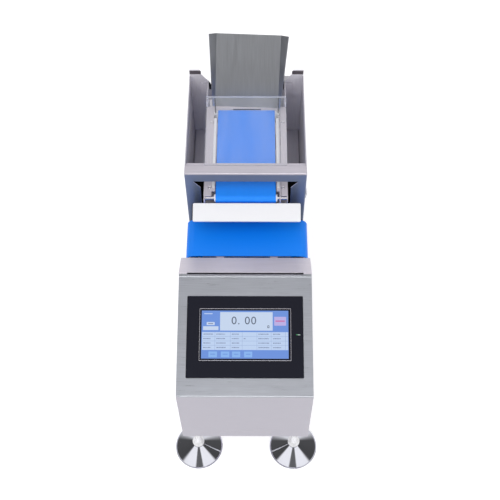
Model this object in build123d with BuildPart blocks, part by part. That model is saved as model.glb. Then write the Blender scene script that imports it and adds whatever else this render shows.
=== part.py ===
from build123d import *
import os
from math import atan2, cos, degrees, radians, sin, sqrt, tan

os.makedirs("parts", exist_ok=True)

# Checkweigher. Millimetres, +X to the operator's right, +Y away from the operator, +Z up.
# The origin is on the floor, under the middle of the base.

# Base and console
console_overhang = 8.0
front_height = 196.0
leg_height = 159.0
deck_drop = 20.0
rear_length = 113.5
sheet = 2.0
fold = 3.0
seat = 0.1
running = 0.05
bottom_flange = 18.0
vent_length = 60.0
vent_slot = 5.0
vent_step = 18.0

# Sloped operator panel, its lip and the cap behind the finger slot
panel_slope = 15.35
panel_run = 209.0
lip_lean = 3.0
cap_overhang = 0.5
slot_margin = 15.0
slot_depth = 3.0
slot_setback = 2.0
cap_run = 49.5
cap_slope = 30.0

# Operator screen
bezel_width = 207.0
bezel_height = 147.0
bezel_depth = 4.0
bezel_corner = 1.5
bezel_chamfer = 1.2
bezel_margin = 32.9
screen_width = 163.0
screen_height = 94.0
screen_rise = 2.7
screen_depth = 1.2
housing_inset = 8.5
housing_depth = 36.0
cutout_gap = 1.5

# Draught hood
hood_gap = 11.5
hood_clearance = 50.0
portal_header = 23.0
portal_leg = 28.0
portal_clearance = 5.5
portal_flare = 14.6
portal_flare_height = 19.5
portal_edge = 1.5
portal_fold = 4.0
crossbar_depth = 20.5
lid_thickness = 4.8
lid_ledge = 8.0
lid_gap = 1.2
lid_inset = 0.5
lid_setback = 2.0
lid_seat = 0.2
wing_setback = 53.5
wing_overlap = 3.5
wing_tab = 10.5
wing_notch = 20.0
tab_lap = 14.0
tab_inset = 14.0
tab_chamfer = 3.4

# Infeed chute and its brackets
chute_gap = 11.0
chute_clearance = 4.0
chute_slope = 53.0
chute_length = 141.0
chute_turn = 2.0
chute_margin = 6.0
chute_sheet = 1.5
chute_flare_low = 4.5
chute_flare_high = 14.0
bracket_sheet = 2.0
bracket_ledge = 25.0
bracket_lap = 10.0
bracket_start = 14.0
bracket_length = 20.0

# Weigh conveyor
belt_height = 98.0
belt_width = 112.0
belt_centres = 200.0
belt_thickness = 1.5
belt_gap = 0.3
nose_gap = 10.0
nose_radius = 7.2
drive_radius = 11.7
nose_shaft_radius = 3.0
drive_journal_radius = 4.0
collar_width = 3.0
web_gap = 4.0
frame_sheet = 2.5
frame_height = 45.0
frame_nose = 7.0
flange_nose = 1.0
frame_tail = 15.0
frame_sink = 0.6
frame_corner = 2.4
notch_width = 6.5
notch_depth = 11.0
cover_sheet = 1.5
cover_gap = 1.0
cover_room = 2.5
weigh_pitch_motor = 27.0
weigh_drop_motor = 41.5
drive_pulley_teeth = 18
motor_pulley_teeth = 15
tooth_pitch = 3.0
pulley_gap = 2.0
shaft_stub = 1.0
timing_width = 6.0
timing_thickness = 1.6
motor_radius = 18.0
motor_length = 58.0

# Load cell
cell_length = 130.0
cell_width = 30.0
cell_height = 22.0
cell_rise = 20.0
cell_spacer = 3.0
cradle_sheet = 3.0
cradle_length = 84.0
cradle_gap = 4.0

# Cross conveyor
cross_height = 30.0
cross_gap = 8.0
cross_width = 81.0
cross_overhang = 3.0
cross_shift = 2.5
cross_belt_thickness = 1.5
cross_roller_radius = 13.2
cross_journal_radius = 5.0
rail_sheet = 2.5
rail_gap = 2.0
rail_drop = 5.5
rail_inset = 9.0
cross_motor_radius = 14.0
cross_motor_length = 62.0
cross_motor_clearance = 6.6

# White transfer plate
plate_inset = 12.0
plate_shift = 2.0
plate_gap = 13.0
plate_run = 33.0
plate_rise = 11.0
plate_drop = 7.0
plate_thickness = 6.0
plate_bracket_width = 14.0
plate_bracket_inset = 2.0
plate_bracket_drop = 51.0
plate_bracket_flange = 30.0
plate_bracket_gap = 2.5

# Levelling feet
foot_inset = 13.5
foot_setback = 35.0
pad_radius = 49.0
pad_edge = 3.0
pad_rim = 2.5
hub_radius = 12.0
hub_base = 26.0
hub_height = 34.0
stem_radius = 6.5
stem_reach = 34.0
stem_clearance = 2.5
boss_thickness = 12.0
nut_flats = 20.0
nut_thickness = 10.0

# Widths that follow from the weigh belt
drive_web_inner = belt_width / 2 + collar_width + web_gap
pulley_x = drive_web_inner + frame_sheet + pulley_gap
journal_right = pulley_x + timing_width + shaft_stub
frame_half_width = journal_right + cover_room + cover_sheet
portal_half_width = frame_half_width + portal_clearance
base_width = 2 * (portal_half_width + portal_leg)
console_width = base_width + 2 * console_overhang
slot_width = console_width - 2 * slot_margin
wing_inner = frame_half_width - wing_overlap
lid_half_width = wing_inner + bracket_sheet - lid_inset
chute_half_width = belt_width / 2 + chute_margin
plate_width = base_width - 2 * plate_inset
plate_bracket_inner = portal_half_width + plate_bracket_inset
cross_half_length = base_width / 2 + cross_overhang
rail_half_length = cross_half_length - rail_inset
foot_x = base_width / 2 - foot_inset
side_inner = base_width / 2 - sheet
console_inner = console_width / 2 - sheet

# Distances from the front face
cap_start = panel_run + lip_lean - cap_overhang
console_depth = cap_start + cap_run
cross_start = console_depth + cross_gap
nose_start = cross_start + cross_width + nose_gap
drive_start = nose_start + belt_centres
hood_front = nose_start + hood_gap
plate_rear = nose_start - plate_gap
plate_front = plate_rear - plate_run
base_length = drive_start + wing_setback + rear_length

# Levels and stations
front_y = -base_length / 2
rear_y = base_length / 2
bend_z = leg_height + front_height
deck_z = bend_z - deck_drop
console_rear = front_y + console_depth
slope_tan = tan(radians(panel_slope))
cap_tan = tan(radians(cap_slope))
nose_y = front_y + nose_start
drive_y = front_y + drive_start
hood_y = front_y + hood_front
wing_y = drive_y + wing_setback
belt_z = bend_z + belt_height
hood_z = belt_z + hood_clearance
nose_z = belt_z - belt_thickness - belt_gap - nose_radius
drive_z = belt_z - belt_thickness - belt_gap - drive_radius
frame_top = belt_z - frame_sink
frame_bottom = frame_top - frame_height
cross_z = bend_z + cross_height
cross_y = front_y + cross_start
cross_end_y = cross_y + cross_width
cross_roller_x = cross_half_length - cross_belt_thickness - belt_gap - cross_roller_radius
cross_axis_z = cross_z - cross_belt_thickness - belt_gap - cross_roller_radius
cross_left_x = cross_shift - cross_roller_x
cross_right_x = cross_shift + cross_roller_x


def bent_profile(points, radius, thickness, side):
    """Section of a folded sheet whose face follows the points."""
    with BuildSketch() as profile:
        with BuildLine():
            FilletPolyline(*points, radius=radius)
            offset(amount=thickness, side=side)
        make_face()
    return profile.sketch


def outline(points):
    """Flat outline through the points."""
    with BuildSketch() as shape:
        with BuildLine():
            Polyline(*points, close=True)
        make_face()
    return shape.sketch


def loop_profile(centre_a, radius_a, centre_b, radius_b, thickness):
    """Section of a belt around two rollers, given the radii of its inner face."""
    with BuildSketch() as outer:
        with Locations(centre_a):
            Circle(radius_a + thickness)
        with Locations(centre_b):
            Circle(radius_b + thickness)
        make_hull()
    with BuildSketch() as inner:
        with Locations(centre_a):
            Circle(radius_a)
        with Locations(centre_b):
            Circle(radius_b)
        make_hull()
    return outer.sketch - inner.sketch


def save(piece, name):
    """Label a finished piece and write it as a STEP file."""
    piece.label = name
    export_step(piece, "parts/" + name + ".step")


# Console: folded front, sloped panel and lip in one sheet, with the screen cut-out
cap_sheet = sheet / cos(radians(cap_slope))
cap_top_z = cross_axis_z + cross_motor_radius + cross_motor_clearance + cap_sheet + cap_run * cap_tan
cap_under = cap_sheet + seat
lip_foot = (front_y + panel_run, bend_z + panel_run * slope_tan)
lip_y = lip_foot[0] + lip_lean
lip_top = (lip_y, cap_top_z - (lip_y + sheet - front_y - cap_start) * cap_tan - cap_under)
bezel_centre = bezel_height / 2 + bezel_margin
housing_width = bezel_width - 2 * housing_inset
housing_height = bezel_height - 2 * housing_inset
panel_plane = Plane(
    origin=(0, front_y, bend_z),
    x_dir=(1, 0, 0),
    z_dir=(0, -sin(radians(panel_slope)), cos(radians(panel_slope))),
)
with BuildPart() as console_wrap:
    with BuildSketch(Plane.YZ.offset(-console_width / 2)):
        wrap_path = [(front_y, leg_height), (front_y, bend_z), lip_foot, lip_top]
        add(bent_profile(wrap_path, fold, sheet, Side.RIGHT))
    extrude(amount=console_width)
    with BuildSketch(panel_plane):
        with Locations((0, bezel_centre)):
            RectangleRounded(housing_width + 2 * cutout_gap, housing_height + 2 * cutout_gap, fold)
    extrude(amount=2 * sheet, both=True, mode=Mode.SUBTRACT)
    with BuildSketch(Plane.XY.offset(lip_top[1] + sheet)):
        with Locations((0, lip_top[0])):
            Rectangle(slot_width, 4 * sheet)
    extrude(amount=-(slot_depth + sheet), mode=Mode.SUBTRACT)
save(console_wrap.part, "console_wrap")

# Console cap: slopes down to the rear and turns down into the console's rear wall
cap_bend = (console_rear, cap_top_z - (console_depth - cap_start) * cap_tan)
cable_slot_width = 60.0
cable_slot_height = 24.0
with BuildPart() as console_cap:
    with BuildSketch(Plane.YZ.offset(-console_width / 2)):
        cap_path = [(front_y + cap_start, cap_top_z), cap_bend, (console_rear, leg_height)]
        add(bent_profile(cap_path, fold, sheet, Side.RIGHT))
    extrude(amount=console_width)
    with BuildSketch(Plane.XZ.offset(-console_rear - sheet)):
        with Locations((cross_right_x, cross_axis_z)):
            Circle(cross_journal_radius + 1)
        with Locations((0, leg_height + front_height / 2)):
            SlotOverall(cable_slot_width, cable_slot_height)
    extrude(amount=4 * sheet, mode=Mode.SUBTRACT)
    with BuildSketch(Plane.XY.offset(cap_top_z + sheet)):
        with Locations((0, front_y + cap_start)):
            Rectangle(slot_width, 2 * slot_setback)
    extrude(amount=-3 * sheet, mode=Mode.SUBTRACT)
save(console_cap.part, "console_cap")

# Console side plates, tucked under the wrap and the cap, with a folded bottom flange
panel_under = sheet / cos(radians(panel_slope)) + seat
side_front = front_y + sheet + seat
side_rear = console_rear - sheet - seat
side_lip_y = lip_top[0] + sheet + 2 * seat
side_points = [
    (side_front, leg_height),
    (side_front, bend_z + (sheet + seat) * slope_tan - panel_under),
    (side_lip_y - lip_lean, bend_z + (side_lip_y - lip_lean - front_y) * slope_tan - panel_under),
    (side_lip_y, cap_top_z - (side_lip_y - front_y - cap_start) * cap_tan - cap_under),
    (side_rear, cap_top_z - (side_rear - front_y - cap_start) * cap_tan - cap_under),
    (side_rear, leg_height),
]
for sign, name in ((-1, "console_side_left"), (1, "console_side_right")):
    with BuildPart() as console_side:
        with BuildSketch(Plane.YZ.offset(sign * console_width / 2)) as cheek_sketch:
            add(outline(side_points))
            fillet(cheek_sketch.vertices().sort_by(Axis.X)[:2].sort_by(Axis.Y)[-1], radius=fold)
        extrude(amount=-sign * sheet)
        with BuildSketch(Plane.XY.offset(leg_height + sheet + seat)):
            with Locations((sign * (console_inner - bottom_flange / 2), (side_front + side_rear) / 2)):
                Rectangle(bottom_flange, side_rear - side_front)
        extrude(amount=sheet)
        with BuildSketch(Plane.XY.offset(leg_height + sheet)):
            with Locations((sign * foot_x, front_y + foot_setback)):
                Circle(stem_radius + stem_clearance)
        extrude(amount=2 * sheet, mode=Mode.SUBTRACT)
    save(console_side.part, name)

# Foot stations and the bottom plates that the stems pass through
foot_front_y = front_y + foot_setback
foot_rear_y = rear_y - foot_setback
foot_points = [
    ("front_left", -foot_x, foot_front_y),
    ("front_right", foot_x, foot_front_y),
    ("rear_left", -foot_x, foot_rear_y),
    ("rear_right", foot_x, foot_rear_y),
]
foot_places = [(x, y) for _, x, y in foot_points]
with BuildPart() as console_bottom:
    with BuildSketch(Plane.XY.offset(leg_height)):
        with Locations((0, (side_front + side_rear) / 2)):
            Rectangle(2 * (console_inner - seat), side_rear - side_front)
        with Locations(*foot_places[:2]):
            Circle(stem_radius + stem_clearance, mode=Mode.SUBTRACT)
        with Locations((0, front_y + console_depth / 2)):
            with GridLocations(vent_step, 0, 6, 1):
                SlotOverall(vent_length, vent_slot, rotation=90, mode=Mode.SUBTRACT)
    extrude(amount=sheet)
save(console_bottom.part, "console_bottom")

base_start = console_rear + seat
base_end = rear_y - sheet - seat
with BuildPart() as base_bottom:
    with BuildSketch(Plane.XY.offset(leg_height)):
        with Locations((0, (base_start + base_end) / 2)):
            Rectangle(2 * (side_inner - seat), base_end - base_start)
        with Locations(*foot_places[2:]):
            Circle(stem_radius + stem_clearance, mode=Mode.SUBTRACT)
    extrude(amount=sheet)
save(base_bottom.part, "base_bottom")

# Threaded foot bosses, welded on the bottom plates against the side sheets
boss_outer = side_inner - seat
boss_width = 30.0
boss_inner = foot_x - boss_width / 2 - sheet
with BuildPart() as foot_bosses:
    for _, x, y in foot_points:
        sign = 1 if x > 0 else -1
        with BuildSketch(Plane.XY.offset(leg_height + 2 * sheet + 2 * seat)):
            with Locations((sign * (boss_outer + boss_inner) / 2, y)):
                Rectangle(boss_outer - boss_inner, boss_width)
            with Locations((x, y)):
                Circle(stem_radius + running, mode=Mode.SUBTRACT)
        extrude(amount=boss_thickness)
save(foot_bosses.part, "foot_bosses")

# Lock nuts under the bottom plates
with BuildPart() as lock_nuts:
    for x, y in foot_places:
        with BuildSketch(Plane.XY.offset(leg_height)):
            with Locations((x, y)):
                RegularPolygon(nut_flats / 2, 6, major_radius=False)
                Circle(stem_radius + running, mode=Mode.SUBTRACT)
        extrude(amount=-nut_thickness)
    chamfer(lock_nuts.edges().group_by(Axis.Z)[0].filter_by(GeomType.LINE), length=0.8)
save(lock_nuts.part, "lock_nuts")

# Levelling feet: conical pad, hub and stem turned in one piece
stem_top = leg_height + stem_reach
foot_chamfer = 1.0
foot_profile = [
    (0, 0),
    (pad_radius - foot_chamfer, 0),
    (pad_radius, foot_chamfer),
    (pad_radius, pad_edge - foot_chamfer / 2),
    (pad_radius - foot_chamfer / 2, pad_edge),
    (pad_radius - pad_rim, pad_edge),
    (hub_radius, hub_base),
    (hub_radius, hub_height),
    (stem_radius, hub_height + hub_radius - stem_radius),
    (stem_radius, stem_top),
    (0, stem_top),
]
for name, x, y in foot_points:
    with BuildPart() as foot:
        with BuildSketch(Plane(origin=(x, y, 0), x_dir=(1, 0, 0), z_dir=(0, -1, 0))):
            add(outline(foot_profile))
        revolve(axis=Axis((x, y, 0), (0, 0, 1)))
    save(foot.part, "foot_" + name)

# Base side sheets: folded bottom flange, raised in the middle as the hood's side panels
hood_side_top = hood_z - sheet - seat
base_side_points = [
    (base_start, leg_height + sheet + seat),
    (base_end, leg_height + sheet + seat),
    (base_end, deck_z),
    (wing_y - seat, deck_z),
    (wing_y - seat, hood_side_top),
    (hood_y + sheet + seat, hood_side_top),
    (hood_y + sheet + seat, deck_z),
    (base_start, deck_z),
]
for sign, name in ((-1, "base_side_left"), (1, "base_side_right")):
    with BuildPart() as base_side:
        with BuildSketch(Plane.YZ.offset(sign * base_width / 2)) as cheek_sketch:
            add(outline(base_side_points))
            fillet(cheek_sketch.vertices().group_by(Axis.Y)[-1], radius=fold)
        extrude(amount=-sign * sheet)
        with BuildSketch(Plane.XY.offset(leg_height + sheet + seat)):
            with Locations((sign * (side_inner - bottom_flange / 2), (base_start + base_end) / 2)):
                Rectangle(bottom_flange, base_end - base_start)
        extrude(amount=sheet)
        with BuildSketch(Plane.XY.offset(leg_height + sheet)):
            with Locations((sign * foot_x, foot_rear_y)):
                Circle(stem_radius + stem_clearance)
        extrude(amount=2 * sheet, mode=Mode.SUBTRACT)
    save(base_side.part, name)

# Deck: folded tray between the side sheets, with a cable slot
with BuildPart() as base_deck:
    with BuildSketch(Plane.XZ.offset(-base_start)):
        half = side_inner - seat
        low = deck_z - bottom_flange
        deck_path = [(-half, low), (-half, deck_z), (half, deck_z), (half, low)]
        add(bent_profile(deck_path, fold, sheet, Side.RIGHT))
    extrude(amount=-(base_end - base_start))
    with BuildSketch(Plane.XY.offset(deck_z)):
        with Locations((0, (wing_y + rear_y) / 2)):
            SlotOverall(cable_slot_width, cable_slot_height)
    extrude(amount=-2 * sheet, mode=Mode.SUBTRACT)
save(base_deck.part, "base_deck")

# Rear panel with louvre slots and the two power cut-outs
inlet_x = -55.0
switch_x = -5.0
power_z = leg_height + 60.0
inlet_size = (27.5, 20.0)
switch_size = (22.0, 14.0)
louvre_step = 12.0
louvre_width = 56.0
louvre_height = 4.0
louvre_x = 58.0
with BuildPart() as rear_panel:
    with BuildSketch(Plane.XZ.offset(-rear_y)):
        with Locations((0, (leg_height + deck_z) / 2)):
            Rectangle(base_width, deck_z - leg_height)
        with Locations((inlet_x, power_z)):
            Rectangle(*inlet_size, mode=Mode.SUBTRACT)
        with Locations((switch_x, power_z)):
            Rectangle(*switch_size, mode=Mode.SUBTRACT)
        with Locations((louvre_x, (leg_height + deck_z) / 2)):
            with GridLocations(0, louvre_step, 1, 7):
                SlotOverall(louvre_width, louvre_height, mode=Mode.SUBTRACT)
    extrude(amount=sheet)
save(rear_panel.part, "rear_panel")

# Mains inlet: flanged shell with a deep socket and its three blades
with BuildPart() as inlet_socket:
    with BuildSketch(Plane.XZ.offset(-rear_y)):
        with Locations((inlet_x, power_z)):
            RectangleRounded(48, 23, 3)
    extrude(amount=-2.5)
    with BuildSketch(Plane.XZ.offset(-rear_y)):
        with Locations((inlet_x, power_z)):
            Rectangle(inlet_size[0] - 2 * seat, inlet_size[1] - 2 * seat)
    extrude(amount=24)
    with BuildSketch(Plane.XZ.offset(-rear_y - 2.5)):
        with Locations((inlet_x, power_z)):
            Rectangle(24, 16)
    extrude(amount=18, mode=Mode.SUBTRACT)
    with BuildSketch(Plane.XZ.offset(-rear_y + 16)):
        with Locations((inlet_x - 7, power_z - 2), (inlet_x, power_z + 2), (inlet_x + 7, power_z - 2)):
            Rectangle(2, 4)
    extrude(amount=-14)
save(inlet_socket.part, "inlet_socket")

# Rocker switch: frame and rocker on a cross pin axis
rocker_depth = 9.0
rocker_pin = 1.5
rocker_tilt = 8.0
rocker_axis_y = rear_y - 2.0
with BuildPart() as switch_frame:
    with BuildSketch(Plane.XZ.offset(-rear_y)):
        with Locations((switch_x, power_z)):
            RectangleRounded(switch_size[0] + 4, switch_size[1] + 4, 1.5)
    extrude(amount=-2)
    with BuildSketch(Plane.XZ.offset(-rear_y)):
        with Locations((switch_x, power_z)):
            Rectangle(switch_size[0] - 2 * seat, switch_size[1] - 2 * seat)
    extrude(amount=20)
    with BuildSketch(Plane.XZ.offset(-rear_y - 2)):
        with Locations((switch_x, power_z)):
            Rectangle(switch_size[0] - 3, switch_size[1] - 3)
    extrude(amount=rocker_depth + 2, mode=Mode.SUBTRACT)
    with BuildSketch(Plane.XY.offset(power_z - switch_size[1] / 2 + 1)):
        with Locations((switch_x, rocker_axis_y)):
            Circle(rocker_pin + running)
    extrude(amount=switch_size[1] - 2, mode=Mode.SUBTRACT)
save(switch_frame.part, "switch_frame")

rocker_half = (switch_size[0] - 3) / 2 - 0.9
with BuildPart() as switch_rocker:
    with BuildSketch(Plane.XY.offset(power_z - (switch_size[1] - 3) / 2 + 0.25)):
        with BuildLine():
            Polyline(
                (switch_x - rocker_half, rear_y + 3.2),
                (switch_x, rear_y + 1.4),
                (switch_x + rocker_half, rear_y + 3.2),
                (switch_x + rocker_half * 0.75, rear_y - 3.5),
                (switch_x, rear_y - 6.0),
                (switch_x - rocker_half * 0.75, rear_y - 3.5),
                close=True,
            )
        make_face()
    extrude(amount=switch_size[1] - 3.5)
    with BuildSketch(Plane.XY.offset(power_z - switch_size[1] / 2 + 1.2)):
        with Locations((switch_x, rocker_axis_y)):
            Circle(rocker_pin)
    extrude(amount=switch_size[1] - 2.4)
rocker_hinge = Axis((switch_x, rocker_axis_y, power_z), (0, 0, 1))
save(switch_rocker.part.rotate(rocker_hinge, rocker_tilt), "switch_rocker")

# Operator screen: bezel with a recess, glass, and the housing behind the panel
with BuildPart() as hmi_bezel:
    with BuildSketch(panel_plane.offset(seat)):
        with Locations((0, bezel_centre)):
            RectangleRounded(bezel_width, bezel_height, bezel_corner)
    extrude(amount=bezel_depth)
    chamfer(hmi_bezel.faces().sort_by(Axis.Z)[-1].outer_wire().edges(), length=bezel_chamfer)
    with BuildSketch(panel_plane.offset(seat + bezel_depth)):
        with Locations((0, bezel_centre + screen_rise)):
            RectangleRounded(screen_width, screen_height, 1)
    extrude(amount=-screen_depth, mode=Mode.SUBTRACT)
save(hmi_bezel.part, "hmi_bezel")

with BuildPart() as hmi_screen:
    with BuildSketch(panel_plane.offset(seat + bezel_depth - screen_depth)):
        with Locations((0, bezel_centre + screen_rise)):
            RectangleRounded(screen_width - 4 * seat, screen_height - 4 * seat, 1)
    extrude(amount=screen_depth - 0.3)
save(hmi_screen.part, "hmi_screen")

with BuildPart() as hmi_housing:
    with BuildSketch(panel_plane.offset(seat)):
        with Locations((0, bezel_centre)):
            RectangleRounded(housing_width, housing_height, fold)
    extrude(amount=-housing_depth)
    with BuildSketch(panel_plane.offset(seat - housing_depth)):
        with Locations((0, bezel_centre + 20)):
            with GridLocations(10, 0, 12, 1):
                SlotOverall(50, 4, rotation=90)
    extrude(amount=3, mode=Mode.SUBTRACT)
    with BuildSketch(panel_plane.offset(seat - housing_depth)):
        with Locations((0, bezel_centre - 44)):
            with GridLocations(34, 0, 4, 1):
                Rectangle(24, 10)
    extrude(amount=7, mode=Mode.SUBTRACT)
save(hmi_housing.part, "hmi_housing")

# Panel clamps that hold the screen housing against the sheet
clamp_bite = 9.0
with BuildPart() as hmi_clamps:
    for x_sign in (-1, 1):
        for y_sign in (-1, 1):
            clamp_y = bezel_centre + y_sign * housing_height / 3
            edge = x_sign * (housing_width / 2)
            with BuildSketch(panel_plane.offset(-sheet)):
                with Locations((edge + x_sign * (cutout_gap + clamp_bite) / 2, clamp_y)):
                    Rectangle(cutout_gap + clamp_bite, 14)
            extrude(amount=-12)
            with BuildSketch(panel_plane.offset(-sheet)):
                with Locations((edge + x_sign * (cutout_gap + clamp_bite) / 2, clamp_y)):
                    Circle(2.2)
            extrude(amount=-12, mode=Mode.SUBTRACT)
save(hmi_clamps.part, "hmi_clamps")

# Controller board on pillars over the console bottom
board_size = (110.0, 130.0)
board_shift = 5.5
board_thickness = 1.6
socket_size = (14.0, 12.0, 11.0)
socket_step = 16.0
capacitor_radius = 5.0
capacitor_height = 16.0
board_x = 36.0
board_y = front_y + console_depth / 2 - board_shift
board_z = leg_height + sheet + 10.0
chips = [(-30, 35, 20, 20, 3), (5, 30, 30, 22, 4), (-28, -8, 26, 16, 6), (14, -6, 12, 12, 8)]
with BuildPart() as controller_board:
    with BuildSketch(Plane.XY.offset(board_z)):
        with Locations((board_x, board_y)):
            Rectangle(*board_size)
    extrude(amount=board_thickness)
    with BuildSketch(Plane.XY.offset(leg_height + sheet)):
        with Locations((board_x, board_y)):
            with GridLocations(board_size[0] - 10, board_size[1] - 10, 2, 2):
                Circle(3)
    extrude(amount=board_z - leg_height - sheet)
    for dx, dy, width, depth, height in chips:
        with BuildSketch(Plane.XY.offset(board_z + board_thickness)):
            with Locations((board_x + dx, board_y + dy)):
                Rectangle(width, depth)
        extrude(amount=height)
    with BuildSketch(Plane.XY.offset(board_z + board_thickness)):
        with Locations((board_x, board_y - board_size[1] / 2 + socket_size[1])):
            with GridLocations(socket_step, 0, 6, 1):
                Rectangle(socket_size[0], socket_size[1])
    extrude(amount=socket_size[2])
    with BuildSketch(Plane.XY.offset(board_z + board_thickness)):
        with Locations((board_x + board_size[0] / 2 - 3 * capacitor_radius, board_y)):
            with GridLocations(0, socket_step, 1, 4):
                Circle(capacitor_radius)
    extrude(amount=capacitor_height)
save(controller_board.part, "controller_board")

# Power supply in a ventilated cage
supply_size = (62.0, 129.0, 38.0)
supply_x = -64.0
terminal_depth = 12.0
terminal_drop = 22.0
grille_step = 12.0
grille_slot = 4.0
with BuildPart() as power_supply:
    with BuildSketch(Plane.XY.offset(leg_height + sheet)):
        with Locations((supply_x, board_y)):
            Rectangle(supply_size[0], supply_size[1])
    extrude(amount=supply_size[2])
    with BuildSketch(Plane.XY.offset(leg_height + sheet + supply_size[2])):
        with Locations((supply_x, board_y + terminal_depth)):
            with GridLocations(0, grille_step, 1, 7):
                SlotOverall(supply_size[0] - 2 * grille_step, grille_slot)
    extrude(amount=-sheet, mode=Mode.SUBTRACT)
    with BuildSketch(Plane.XY.offset(leg_height + sheet + supply_size[2])):
        with Locations((supply_x, board_y - (supply_size[1] - terminal_depth) / 2)):
            Rectangle(supply_size[0] - terminal_depth, terminal_depth)
    extrude(amount=-terminal_drop, mode=Mode.SUBTRACT)
save(power_supply.part, "power_supply")

# Draught hood portal: front plate, crossbar flange and the ledge that the lid rests on
lid_z = hood_z - lid_thickness - lid_seat
portal_top = hood_z - portal_header
with BuildPart() as hood_portal:
    with BuildSketch(Plane.YZ.offset(-base_width / 2)):
        portal_path = [
            (hood_y, deck_z + seat),
            (hood_y, hood_z),
            (hood_y + crossbar_depth, hood_z),
            (hood_y + crossbar_depth, lid_z),
            (hood_y + crossbar_depth + lid_ledge, lid_z),
        ]
        add(bent_profile(portal_path, [portal_fold, fold, sheet / 2], sheet, Side.RIGHT))
    extrude(amount=base_width)
    with BuildSketch(Plane.XY.offset(hood_z - sheet)):
        with Locations((-base_width / 2, hood_y + 2 * sheet), (base_width / 2, hood_y + 2 * sheet)):
            Rectangle(2 * (sheet + seat), 2 * (crossbar_depth + lid_ledge), align=(Align.CENTER, Align.MIN))
    extrude(amount=-lid_thickness - 3 * sheet, mode=Mode.SUBTRACT)
    with BuildSketch(Plane.XZ.offset(-hood_y + 1)):
        add(
            outline(
                [
                    (-portal_half_width, deck_z - 1),
                    (-portal_half_width, portal_top - portal_flare_height),
                    (-portal_half_width - portal_flare, portal_top),
                    (portal_half_width + portal_flare, portal_top),
                    (portal_half_width, portal_top - portal_flare_height),
                    (portal_half_width, deck_z - 1),
                ]
            )
        )
    extrude(amount=-(sheet + 2), mode=Mode.SUBTRACT)
    inner_corners = hood_portal.edges().filter_by(Axis.Y).filter_by(
        lambda edge: abs(edge.center().Z - portal_top) < 0.5
    )
    fillet(inner_corners, radius=sheet)
    outer_corners = hood_portal.edges().filter_by(Axis.Z).filter_by(
        lambda edge: abs(edge.center().X) > side_inner and edge.center().Y < hood_y + seat
    )
    fillet(outer_corners, radius=portal_edge)
save(hood_portal.part, "hood_portal")

# Rear wings of the hood, cut back on a slant, each with an upright tab behind it
tab_inner = wing_inner + tab_inset
for sign, name in ((-1, "hood_wing_left"), (1, "hood_wing_right")):
    wing_outer = sign * base_width / 2
    with BuildPart() as hood_wing:
        with BuildSketch(Plane.XZ.offset(-wing_y)):
            add(
                outline(
                    [
                        (wing_outer, deck_z + seat),
                        (wing_outer, hood_z),
                        (sign * tab_inner, hood_z),
                        (sign * wing_inner, hood_z - wing_notch),
                        (sign * wing_inner, deck_z + seat),
                    ]
                )
            )
        extrude(amount=-sheet)
        with BuildSketch(Plane.XZ.offset(-wing_y - sheet)):
            add(
                outline(
                    [
                        (wing_outer, hood_z - tab_lap),
                        (wing_outer, hood_z + wing_tab),
                        (sign * (tab_inner + tab_chamfer), hood_z + wing_tab),
                        (sign * tab_inner, hood_z + wing_tab / 2),
                        (sign * tab_inner, hood_z - tab_lap),
                    ]
                )
            )
        extrude(amount=-sheet)
    save(hood_wing.part, name)

# Clear lid: lifts off its ledges at the crossbar and on the brackets
with BuildPart() as hood_lid:
    lid_start = hood_y + crossbar_depth + lid_gap
    lid_end = drive_y - lid_setback
    with BuildSketch(Plane.XY.offset(lid_z + lid_seat)):
        with Locations((0, (lid_start + lid_end) / 2)):
            RectangleRounded(2 * lid_half_width, lid_end - lid_start, 2)
    extrude(amount=lid_thickness)
save(hood_lid.part, "hood_lid")

# Infeed chute: a tray whose flared sides grow towards the top
chute_y = drive_y + chute_gap
chute_z = belt_z + chute_clearance
slope_run, slope_rise = cos(radians(chute_slope)), sin(radians(chute_slope))
turn_sin, turn_cos = sin(radians(chute_turn)), cos(radians(chute_turn))
bracket_plane = Plane(
    origin=(0, chute_y, chute_z),
    x_dir=(-1, 0, 0),
    z_dir=(0, slope_run, slope_rise),
)
chute_plane = Plane(
    origin=(0, chute_y, chute_z),
    x_dir=(-turn_cos, turn_sin * slope_run, turn_sin * slope_rise),
    z_dir=(turn_sin, turn_cos * slope_run, turn_cos * slope_rise),
)


def tray_section(flare):
    """Section of the chute where its sides have spread by the given flare."""
    half = chute_half_width
    tip = chute_sheet / sqrt(2)
    return outline(
        [
            (-half - flare, flare),
            (-half, 0),
            (half, 0),
            (half + flare, flare),
            (half + flare + tip, flare - tip),
            (half + chute_sheet * 0.41, -chute_sheet),
            (-half - chute_sheet * 0.41, -chute_sheet),
            (-half - flare - tip, flare - tip),
        ]
    )


with BuildPart() as chute:
    with BuildSketch(chute_plane):
        add(tray_section(chute_flare_low))
    with BuildSketch(chute_plane.offset(chute_length)):
        add(tray_section(chute_flare_high))
    loft(ruled=True)
save(chute.part, "chute")

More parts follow.
